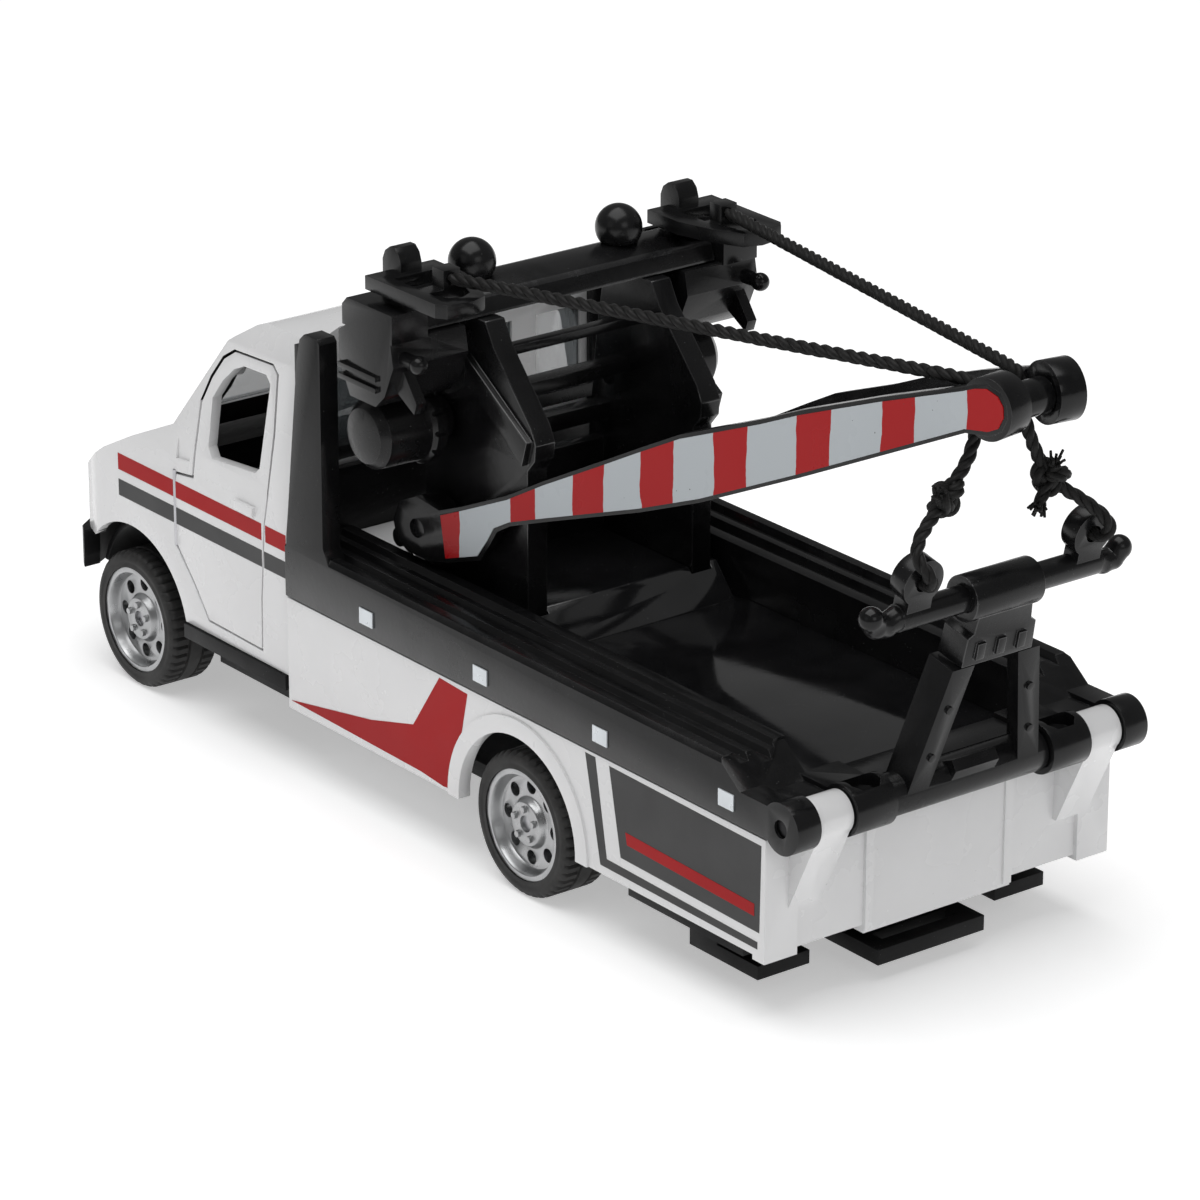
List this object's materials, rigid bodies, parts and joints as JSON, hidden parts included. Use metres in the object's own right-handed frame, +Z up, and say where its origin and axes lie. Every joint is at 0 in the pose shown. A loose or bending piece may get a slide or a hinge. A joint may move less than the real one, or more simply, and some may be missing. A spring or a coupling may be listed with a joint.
{
  "type": "toy tow truck",
  "caption": "Toy tow truck: white cab with opening doors, tipping black bed, winch mast, striped boom held by ropes, and a folding wheel lift at the rear.",
  "frame": {"origin": "on the ground under the middle of the truck's bounding box", "axes": "+Z up, +Y towards the truck's rear, +X towards the truck's left"},
  "size_m": [0.0558, 0.1612, 0.0766],
  "materials": {
    "white_paint": "gloss",
    "black_plastic": "gloss",
    "black_matte": "satin",
    "tyre": "matte",
    "silver_rim": "satin",
    "steel": "satin",
    "smoked_glass": "gloss",
    "lamp_clear": "gloss",
    "stripe_sticker": "gloss",
    "reflector": "gloss",
    "rope": "matte"
  },
  "bodies": {
    "chassis": {"cab_shell": "white_paint", "windscreen": "smoked_glass", "headlight_left": "lamp_clear", "headlight_right": "lamp_clear", "cab_rear_window": "smoked_glass", "grille": "black_matte", "front_bumper": "black_matte", "interior_tub": "black_matte", "dashboard": "black_matte", "steering_wheel": "black_matte", "base_plate": "black_matte", "base_screws": "steel", "rear_body": "white_paint", "hinge_pin": "steel", "door_pins": "steel"},
    "front_wheels": {"tyre_front_left": "tyre", "tyre_front_right": "tyre", "rim_front_left": "silver_rim", "rim_front_right": "silver_rim", "axle_front": "steel"},
    "rear_wheels": {"tyre_rear_left": "tyre", "tyre_rear_right": "tyre", "rim_rear_left": "silver_rim", "rim_rear_right": "silver_rim", "axle_rear": "steel"},
    "door_left": {"door_left": "white_paint"},
    "door_right": {"door_right": "white_paint"},
    "bed": {"bed_frame": "black_plastic", "bed_floor": "black_plastic", "front_deck": "white_paint", "floor_hump": "black_plastic", "side_reflectors": "reflector", "mast_side_left": "black_plastic", "mast_side_right": "black_plastic", "mast_ties": "black_plastic", "mast_crossbar": "black_plastic", "winch_housing_left": "black_plastic", "winch_housing_right": "black_plastic", "head_bracket_left": "black_plastic", "head_bracket_right": "black_plastic", "beacon_left": "black_plastic", "beacon_right": "black_plastic", "rope_upper_left": "rope", "rope_upper_right": "rope"},
    "winch_left": {"winch_drum_left": "black_plastic"},
    "winch_right": {"winch_drum_right": "black_plastic"},
    "boom": {"boom_plate_left": "black_plastic", "boom_plate_right": "black_plastic", "boom_sticker_left": "stripe_sticker", "boom_sticker_right": "stripe_sticker", "boom_rungs": "black_plastic", "tip_shaft": "black_plastic", "boom_pin": "black_plastic"},
    "wheel_lift": {"lift_a_frame": "black_plastic", "lift_head": "black_plastic", "lift_crossbar": "black_plastic"},
    "hanging_ropes": {"rope_lower_left": "rope", "rope_lower_right": "rope", "rope_knot_left": "rope", "rope_knot_right": "rope"}
  },
  "joints": [
    {"name": "front_axle_spin", "type": "hinge", "parent": "chassis", "child": "front_wheels", "pos_m": [0, -0.0633, 0.009], "axis": [1, 0, 0], "continuous": true},
    {"name": "rear_axle_spin", "type": "hinge", "parent": "chassis", "child": "rear_wheels", "pos_m": [0, 0.0189, 0.009], "axis": [1, 0, 0], "continuous": true},
    {"name": "door_left_hinge", "type": "hinge", "parent": "chassis", "child": "door_left", "pos_m": [0.0253, -0.0532, 0.028], "axis": [0, 0, -1], "range_deg": [0, 60]},
    {"name": "door_right_hinge", "type": "hinge", "parent": "chassis", "child": "door_right", "pos_m": [-0.0253, -0.0532, 0.028], "axis": [0, 0, 1], "range_deg": [0, 60]},
    {"name": "bed_tilt", "type": "hinge", "parent": "chassis", "child": "bed", "pos_m": [0, 0.0674, 0.0256], "axis": [-1, 0, 0], "range_deg": [0, 30]},
    {"name": "boom_pitch", "type": "hinge", "parent": "bed", "child": "boom", "pos_m": [0, -0.0112, 0.0356], "axis": [1, 0, 0], "range_deg": [-10, 0], "deforming": ["rope_upper_left", "rope_upper_right"]},
    {"name": "lift_tilt", "type": "hinge", "parent": "bed", "child": "wheel_lift", "pos_m": [0, 0.0674, 0.0256], "axis": [1, 0, 0], "range_deg": [-35.9, 0]},
    {"name": "rope_swing", "type": "hinge", "parent": "boom", "child": "hanging_ropes", "pos_m": [0, 0.07025, 0.07255], "axis": [1, 0, 0], "range_deg": [0, 46.2], "deforming": ["rope_lower_left", "rope_lower_right", "rope_knot_left", "rope_knot_right"]},
    {"name": "winch_left_spin", "type": "hinge", "parent": "bed", "child": "winch_left", "pos_m": [0, -0.0117, 0.0488], "axis": [1, 0, 0], "continuous": true},
    {"name": "winch_right_spin", "type": "hinge", "parent": "bed", "child": "winch_right", "pos_m": [0, -0.0117, 0.0488], "axis": [1, 0, 0], "continuous": true}
  ],
  "couplings": [
    {"joint": "lift_tilt", "follows": "boom_pitch", "ratio": 3.59},
    {"joint": "rope_swing", "follows": "boom_pitch", "ratio": -4.62}
  ]
}
